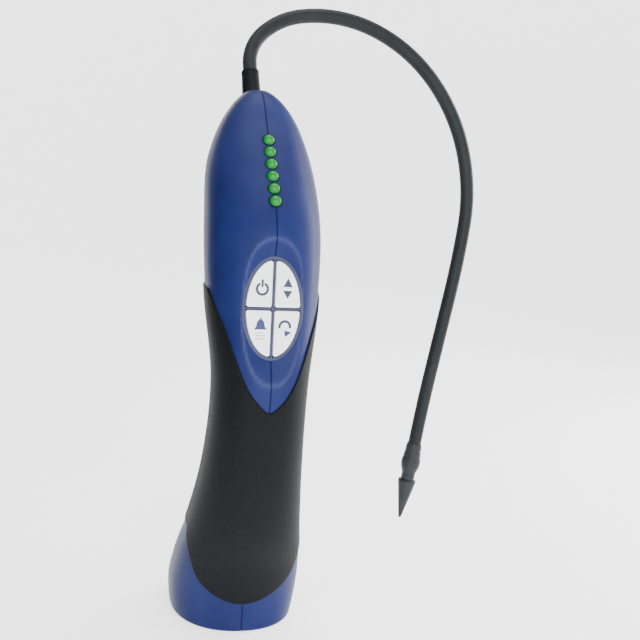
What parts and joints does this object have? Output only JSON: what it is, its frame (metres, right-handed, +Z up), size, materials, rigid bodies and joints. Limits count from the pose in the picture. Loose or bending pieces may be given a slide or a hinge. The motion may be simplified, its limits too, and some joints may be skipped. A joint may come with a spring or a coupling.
{
  "type": "portable gas detector",
  "caption": "Hand-held gas leak detector with a curved rubber grip, oval keypad, lamp column and a bendable gooseneck probe.",
  "frame": {"origin": "centre of the flat foot that the detector stands on", "axes": "+Z up from the foot to the crown, the keypad faces -Y, the two case halves meet on X = 0"},
  "size_m": [0.1427, 0.0997, 0.2697],
  "materials": {
    "case_blue": "satin moulded blue ABS",
    "grip_rubber": "matte black overmoulded rubber",
    "boot_rubber": "matte black rubber",
    "bezel_grey": "satin blue-grey moulded plastic",
    "key_white": "satin white key caps",
    "silicone": "translucent silicone",
    "lamp_green": "green tinted clear lens",
    "board_green": "circuit board",
    "black_plastic": "black moulded parts",
    "screw_steel": "plated steel",
    "cell_jacket": "plain jacketed cells",
    "tube_plastic": "black moulded battery tube",
    "door_plastic": "satin moulded blue door",
    "seal_rubber": "black rubber ring",
    "neck_steel": "steel hose",
    "nut_brass": "turned brass",
    "neck_sheath": "satin dark grey vinyl sheath",
    "sensor_steel": "sensor can",
    "tip_plastic": "satin dark grey moulded tip"
  },
  "bodies": {
    "case": {"battery_lower": "cell_jacket", "battery_tube": "tube_plastic", "battery_upper": "cell_jacket", "board_parts": "black_plastic", "board_screws": "screw_steel", "buzzer": "black_plastic", "case_screws": "screw_steel", "contact_top": "screw_steel", "dome_alarm": "silicone", "dome_power": "silicone", "dome_reset": "silicone", "dome_sensitivity": "silicone", "grip_sleeve": "grip_rubber", "housing_left": "case_blue", "housing_right": "case_blue", "keypad_bezel": "bezel_grey", "led_1": "lamp_green", "led_2": "lamp_green", "led_3": "lamp_green", "led_4": "lamp_green", "led_5": "lamp_green", "led_6": "lamp_green", "led_board": "board_green", "main_board": "board_green", "neck_boot": "boot_rubber", "neck_nut": "nut_brass", "neck_root": "neck_steel"},
    "power_key": {"key_power": "key_white"},
    "sensitivity_key": {"key_sensitivity": "key_white"},
    "alarm_key": {"key_alarm": "key_white"},
    "reset_key": {"key_reset": "key_white"},
    "neck_1": {"neck_link_1": "neck_steel"},
    "neck_2": {"neck_link_2": "neck_steel"},
    "neck_3": {"neck_link_3": "neck_steel"},
    "neck_4": {"neck_link_4": "neck_steel"},
    "neck_5": {"neck_link_5": "neck_steel"},
    "neck_6": {"neck_link_6": "neck_steel"},
    "neck_7": {"neck_link_7": "neck_steel"},
    "neck_8": {"neck_link_8": "neck_steel"},
    "neck_9": {"neck_link_9": "neck_steel", "tip_ferrule": "neck_sheath", "sensor_element": "sensor_steel"},
    "tip": {"tip_cone": "tip_plastic"},
    "door": {"battery_door": "door_plastic", "door_seal": "seal_rubber", "contact_spring": "screw_steel"},
    "door_fastener": {"door_screw": "screw_steel"}
  },
  "joints": [
    {"name": "power_key_press", "type": "slide", "parent": "case", "child": "power_key", "axis": [0, 0.9918, -0.128], "range_m": [0, 0.0008], "stiffness_N_per_m": 1200, "springref_m": -0.0006, "deforming": ["dome_power"]},
    {"name": "sensitivity_key_press", "type": "slide", "parent": "case", "child": "sensitivity_key", "axis": [0, 0.9918, -0.128], "range_m": [0, 0.0008], "stiffness_N_per_m": 1200, "springref_m": -0.0006, "deforming": ["dome_sensitivity"]},
    {"name": "alarm_key_press", "type": "slide", "parent": "case", "child": "alarm_key", "axis": [0, 0.9918, -0.128], "range_m": [0, 0.0008], "stiffness_N_per_m": 1200, "springref_m": -0.0006, "deforming": ["dome_alarm"]},
    {"name": "reset_key_press", "type": "slide", "parent": "case", "child": "reset_key", "axis": [0, 0.9918, -0.128], "range_m": [0, 0.0008], "stiffness_N_per_m": 1200, "springref_m": -0.0006, "deforming": ["dome_reset"]},
    {"name": "neck_bend_1", "type": "hinge", "parent": "case", "child": "neck_1", "pos_m": [0, 0.03469, 0.243], "axis": [0, 0.848, -0.5299], "range_deg": [-47, 12]},
    {"name": "neck_bend_2", "type": "hinge", "parent": "neck_1", "child": "neck_2", "pos_m": [0.00701, 0.04207, 0.25721], "axis": [-0.1826, 0.9703, -0.1587], "range_deg": [-32, 12]},
    {"name": "neck_bend_3", "type": "hinge", "parent": "neck_2", "child": "neck_3", "pos_m": [0.02462, 0.04528, 0.26553], "axis": [-0.0687, 0.9976, -0.0121], "range_deg": [-31, 12]},
    {"name": "neck_bend_4", "type": "hinge", "parent": "neck_3", "child": "neck_4", "pos_m": [0.05999, 0.0456, 0.26212], "axis": [0.0489, 0.9986, -0.0188], "range_deg": [-27, 12]},
    {"name": "neck_bend_5", "type": "hinge", "parent": "neck_4", "child": "neck_5", "pos_m": [0.0892, 0.04272, 0.24188], "axis": [0.0693, 0.9945, -0.0783], "range_deg": [-24, 14]},
    {"name": "neck_bend_6", "type": "hinge", "parent": "neck_5", "child": "neck_6", "pos_m": [0.10656, 0.0389, 0.21088], "axis": [0.0306, 0.9945, -0.1], "range_deg": [-23, 14]},
    {"name": "neck_bend_7", "type": "hinge", "parent": "neck_6", "child": "neck_7", "pos_m": [0.10997, 0.03524, 0.17547], "axis": [-0.01, 0.9954, -0.0953], "range_deg": [-4, 14]},
    {"name": "neck_bend_8", "type": "hinge", "parent": "neck_7", "child": "neck_8", "pos_m": [0.10498, 0.0321, 0.13996], "axis": [-0.0136, 0.9969, -0.0773], "range_deg": [-20, 14]},
    {"name": "neck_bend_9", "type": "hinge", "parent": "neck_8", "child": "neck_9", "pos_m": [0.09905, 0.02975, 0.10454], "axis": [-0.0082, 0.9986, -0.0517], "range_deg": [-20, 16]},
    {"name": "tip_cone_pull", "type": "slide", "parent": "neck_9", "child": "tip", "axis": [-0.1045, -0.0262, -0.9942], "range_m": [0, 0.015]},
    {"name": "battery_door_pull", "type": "slide", "parent": "case", "child": "door", "axis": [0, 0, -1], "range_m": [0, 0.02]},
    {"name": "door_screw_turn", "type": "hinge", "parent": "door", "child": "door_fastener", "pos_m": [0, 0.011, 0], "axis": [0, 0, 1], "continuous": true}
  ]
}
